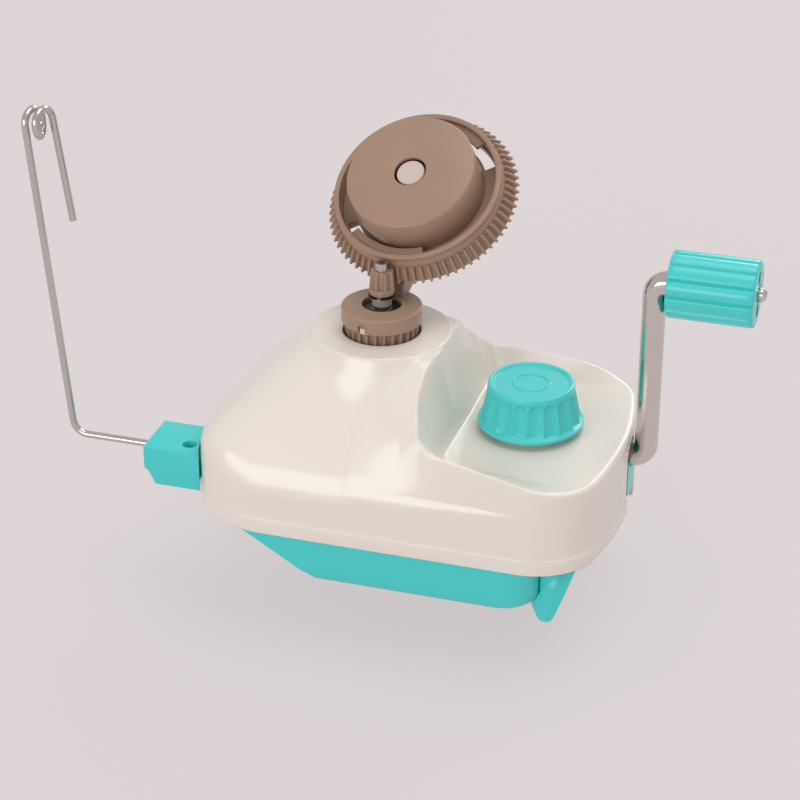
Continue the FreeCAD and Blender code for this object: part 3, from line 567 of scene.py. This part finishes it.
# Catch: the tip of an ivory spring tongue that snaps into the cap's notch and keeps it on.
ivory = moulded("ivory_plastic", tone(214, 204, 178), 0.35, cloud=0.02)
catch_line = rounded([(-1.2, 67.6), (1.2, 67.6), (1.2, 70.0), (-1.2, 70.0)], 0.35, 3, closed=True)
deep = np.array([13.0, 13.05, 14.3, 14.6])[:, None]
slim = np.array([0.4, 1.0, 1.0, 0.8])[:, None]
wide = catch_line[:, 0][None, :] * slim
high = 68.8 + (catch_line[:, 1][None, :] - 68.8) * slim
strip("catch", np.stack(at_notch(deep, wide, high + 0.0 * deep), -1), "hub", ivory)


# Painted shade: a thin black disc laid in the cap's sunk middle, round the spindle, standing in for the dark of
# that hollow.
black = moulded("painted_shade_black", tone(26, 24, 24), 0.45, cloud=0.05)
painted_shade_disc = rounded([(3.9, 72.25), (7.35, 72.25), (7.35, 72.7), (3.9, 72.7)], 0.15, closed=True)
outward(skin("painted_shade_disc", turned(painted_shade_disc, 120), "hub", black))


# Bracket: a brown moulding on the cap that holds the spool's axle at its slant.
eased("hub_arm", "hub", brown, 0.6, 3)


# Fixed gear: a small tapered gear in tan plastic, screwed to the top of the spindle, so it never turns. The
# spool's teeth roll round it.
tan = moulded("tan_plastic", tone(161, 131, 111), 0.36, cloud=0.02, grain=0.02, scatter=0.03)
eased("centre_pinion", "base", tan, 0.12)


# Spool: a toothed dish with windows and a plain drum snapped into it, both moulded in the same tan plastic.
# They turn together on the slanted axle.
eased("spool_gear", "spool", tan, 0.22)
eased("spool_drum", "spool", tan, 0.4, 3)


# Axle cap: a pale moulded button pressed on the end of the spool's axle.
pale = moulded("pale_plastic", tone(203, 188, 179), 0.4, cloud=0.02, grain=0.02)
eased("axle_cap", "hub", pale, 0.25, 3)


# Turned steel: spindle, axle, screws, clamp screw, nut and set collar, cut from bar and left bright.


def metal(name, colour, rough, brush, scale):
    """Metal with faint long marks: noise stretched along Z drives the gloss and a shallow bump."""
    material = bpy.data.materials.new(name)
    material.use_nodes = True
    tree = material.node_tree
    shader = tree.nodes["Principled BSDF"]
    shader.inputs["Metallic"].default_value = 1.0
    place = tree.nodes.new("ShaderNodeTexCoord")
    stretch = tree.nodes.new("ShaderNodeMapping")
    stretch.inputs["Scale"].default_value = scale
    marks = tree.nodes.new("ShaderNodeTexNoise")
    marks.inputs["Scale"].default_value = 600.0
    marks.inputs["Detail"].default_value = 4.0
    tint = tree.nodes.new("ShaderNodeMix")
    tint.data_type = "RGBA"
    tint.inputs[6].default_value = [c * 0.93 for c in colour[:3]] + [1.0]
    tint.inputs[7].default_value = colour
    gloss = tree.nodes.new("ShaderNodeMapRange")
    gloss.inputs["To Min"].default_value = rough * 0.7
    gloss.inputs["To Max"].default_value = rough * 1.3
    bump = tree.nodes.new("ShaderNodeBump")
    bump.inputs["Strength"].default_value = brush
    bump.inputs["Distance"].default_value = 0.00005
    tree.links.new(place.outputs["Object"], stretch.inputs["Vector"])
    tree.links.new(stretch.outputs["Vector"], marks.inputs["Vector"])
    tree.links.new(marks.outputs["Fac"], tint.inputs["Factor"])
    tree.links.new(tint.outputs[2], shader.inputs["Base Color"])
    tree.links.new(marks.outputs["Fac"], gloss.inputs["Value"])
    tree.links.new(gloss.outputs["Result"], shader.inputs["Roughness"])
    tree.links.new(marks.outputs["Fac"], bump.inputs["Height"])
    tree.links.new(bump.outputs["Normal"], shader.inputs["Normal"])
    return material


steel = metal("steel", tone(196, 194, 192), 0.3, 0.1, (1.0, 1.0, 0.2))
for node in ("base_screws", "cap_screws", "spindle", "spindle_screw", "spool_axle", "clamp_screw", "clamp_nut",
             "crank_collar"):
    dress(node, steel)


# Crank rod: bent from a round bar and plated with nickel. It turns in the base's bearings.
plate = metal("nickel_plate", tone(214, 208, 203), 0.12, 0.04, (1.0, 1.0, 0.15))
dress("crank_rod", plate)


# Yarn guide: bright wire, coiled for its eye and bent at the foot, sprung into the arm block.
wire = metal("plated_wire", tone(205, 201, 197), 0.2, 0.08, (1.0, 1.0, 0.15))
dress("guide_wire", wire)


# Clips: dark spring steel, snapped into the grooves of the spindle and the clamp screw.
clip_steel = metal("dark_clip", tone(70, 68, 66), 0.35, 0.1, (1.0, 1.0, 0.2))
dress("spindle_clip", clip_steel)
dress("screw_clip", clip_steel)


# Sleeve and crown gear: a grey moulded sleeve that slides on the spindle, and the brown moulded gear that the
# collar holds on the crank's rod.
grey = moulded("grey_sleeve", tone(150, 146, 142), 0.4)
dress("spacer", grey)
dress("crown_gear", brown)


# Floor and backdrop: one pale sheet of paper under and behind the winder.
floor_mesh = bpy.data.meshes.new("floor")
far = 6.0
floor_z = -0.0435
floor_mesh.from_pydata([(-far, -far, floor_z), (far, -far, floor_z), (far, far, floor_z), (-far, far, floor_z)],
                       [], [(0, 1, 2, 3)])
floor = bpy.data.objects.new("floor", floor_mesh)
bpy.context.scene.collection.objects.link(floor)
paper = bpy.data.materials.new("paper")
paper.use_nodes = True
tree = paper.node_tree
sheet = tree.nodes["Principled BSDF"]
sheet.inputs["Base Color"].default_value = tone(222, 214, 215)
sheet.inputs["Roughness"].default_value = 0.9
glow = tree.nodes.new("ShaderNodeEmission")
glow.inputs["Color"].default_value = tone(220, 212, 213)
glow.inputs["Strength"].default_value = 1.0
seen = tree.nodes.new("ShaderNodeLightPath")
either = tree.nodes.new("ShaderNodeMath")
either.operation = "MAXIMUM"
third = tree.nodes.new("ShaderNodeMath")
third.operation = "MAXIMUM"
share = tree.nodes.new("ShaderNodeMath")
share.operation = "MULTIPLY"
share.inputs[1].default_value = 0.78
blend = tree.nodes.new("ShaderNodeMixShader")
tree.links.new(seen.outputs["Is Camera Ray"], either.inputs[0])
tree.links.new(seen.outputs["Is Glossy Ray"], either.inputs[1])
tree.links.new(either.outputs[0], third.inputs[0])
tree.links.new(seen.outputs["Is Transmission Ray"], third.inputs[1])
tree.links.new(third.outputs[0], share.inputs[0])
tree.links.new(share.outputs[0], blend.inputs[0])
tree.links.new(sheet.outputs[0], blend.inputs[1])
tree.links.new(glow.outputs[0], blend.inputs[2])
tree.links.new(blend.outputs[0], tree.nodes["Material Output"].inputs["Surface"])
floor_mesh.materials.append(paper)

# Light: a soft box at the left front, a large one above the right side, one behind, and a pale room.


def soft_box(name, place, aim, size, power):
    """Oblong lamp that looks from its place at a point."""
    lamp = bpy.data.lights.new(name, "AREA")
    lamp.shape = "RECTANGLE"
    lamp.size, lamp.size_y = size
    lamp.energy = power
    box = bpy.data.objects.new(name, lamp)
    bpy.context.scene.collection.objects.link(box)
    way = np.array(aim) - np.array(place)
    box.location = place
    flat = math.hypot(way[0], way[1])
    box.rotation_euler = (math.atan2(flat, -way[2]), 0.0, math.atan2(way[0], -way[1]) + math.pi)


soft_box("front", (-0.42, -1.35, 0.50), (0.0, 0.0, 0.03), (1.1, 0.55), 6.8)
soft_box("above", (0.35, 0.1, 1.6), (0.0, 0.0, 0.05), (1.2, 1.2), 8.5)
soft_box("back", (0.35, 1.5, 0.95), (0.0, 0.0, 0.05), (1.0, 0.5), 7.0)
room = bpy.data.worlds.new("room")
room.use_nodes = True
room.node_tree.nodes["Background"].inputs["Color"].default_value = tone(236, 232, 232)
room.node_tree.nodes["Background"].inputs["Strength"].default_value = 0.72
bpy.context.scene.world = room
bpy.context.scene.view_settings.view_transform = "Standard"

# Camera: a long lens, level, from the right front and above.
lens = bpy.data.cameras.new("camera")
lens.lens = 104.37
lens.sensor_width = 36.0
lens.clip_end = 50.0
camera = bpy.data.objects.new("camera", lens)
bpy.context.scene.collection.objects.link(camera)
camera.location = (0.23572, -0.73572, 0.44324)
camera.rotation_euler = (math.radians(90.0 - 27.92), 0.0, math.radians(17.27))
bpy.context.scene.camera = camera
